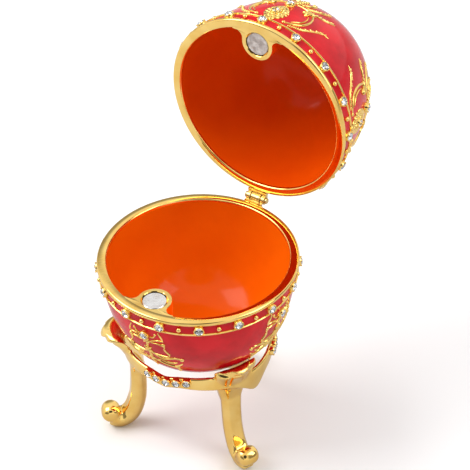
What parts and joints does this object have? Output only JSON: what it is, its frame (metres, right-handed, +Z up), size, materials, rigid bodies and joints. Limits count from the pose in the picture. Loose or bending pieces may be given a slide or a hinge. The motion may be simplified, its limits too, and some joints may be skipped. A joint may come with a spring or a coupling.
{
  "type": "egg trinket box",
  "caption": "Enamelled metal egg box with a hinged lid, magnetic catch and jewelled rim, cradled in an attached gold stand with curled legs.",
  "frame": {"origin": "on the ground under the middle of the open box", "axes": "+Z up, -Y towards the catch side, +Y towards the hinge; the hinge axis runs along X"},
  "size_m": [0.0564, 0.0936, 0.1174],
  "materials": {
    "red_enamel": "gloss",
    "gold_plate": "polished",
    "crystal": "polished",
    "bright_magnet": "polished",
    "dull_magnet": "matte"
  },
  "bodies": {
    "base": {"stand": "gold_plate", "bowl": "red_enamel", "bowl_magnet": "bright_magnet", "bowl_hinge_leaf": "gold_plate", "hinge_pin": "gold_plate", "bowl_band_stone_1": "crystal", "bowl_band_stone_2": "crystal", "bowl_band_stone_3": "crystal", "bowl_band_stone_4": "crystal", "bowl_band_stone_5": "crystal", "bowl_band_stone_6": "crystal", "bowl_band_stone_7": "crystal", "bowl_band_stone_8": "crystal", "bowl_band_stone_9": "crystal", "bowl_band_stone_10": "crystal", "bowl_band_stone_11": "crystal", "bowl_band_stone_12": "crystal", "bowl_band_stone_13": "crystal", "bowl_band_stone_14": "crystal", "bowl_band_stone_15": "crystal", "bowl_band_stone_16": "crystal", "bowl_motif_stone_1": "crystal", "bowl_motif_stone_2": "crystal", "bowl_motif_stone_3": "crystal", "bowl_motif_stone_4": "crystal", "stand_stone_1": "crystal", "stand_stone_2": "crystal", "stand_stone_3": "crystal", "stand_stone_4": "crystal", "stand_stone_5": "crystal", "stand_stone_6": "crystal", "stand_stone_7": "crystal", "stand_stone_8": "crystal", "stand_stone_9": "crystal", "stand_stone_10": "crystal", "stand_stone_11": "crystal", "stand_stone_12": "crystal", "stand_stone_13": "crystal", "stand_stone_14": "crystal", "stand_stone_15": "crystal"},
    "lid": {"lid": "red_enamel", "lid_magnet": "dull_magnet", "lid_hinge_leaf": "gold_plate", "lid_band_stone_1": "crystal", "lid_band_stone_2": "crystal", "lid_band_stone_3": "crystal", "lid_band_stone_4": "crystal", "lid_band_stone_5": "crystal", "lid_band_stone_6": "crystal", "lid_band_stone_7": "crystal", "lid_band_stone_8": "crystal", "lid_band_stone_9": "crystal", "lid_band_stone_10": "crystal", "lid_band_stone_11": "crystal", "lid_band_stone_12": "crystal", "lid_band_stone_13": "crystal", "lid_band_stone_14": "crystal", "lid_band_stone_15": "crystal", "lid_band_stone_16": "crystal"}
  },
  "joints": [
    {"name": "lid_hinge", "type": "hinge", "parent": "base", "child": "lid", "pos_m": [0, 0.01115, 0.0596], "axis": [1, 0, 0], "range_deg": [0, 92]}
  ]
}
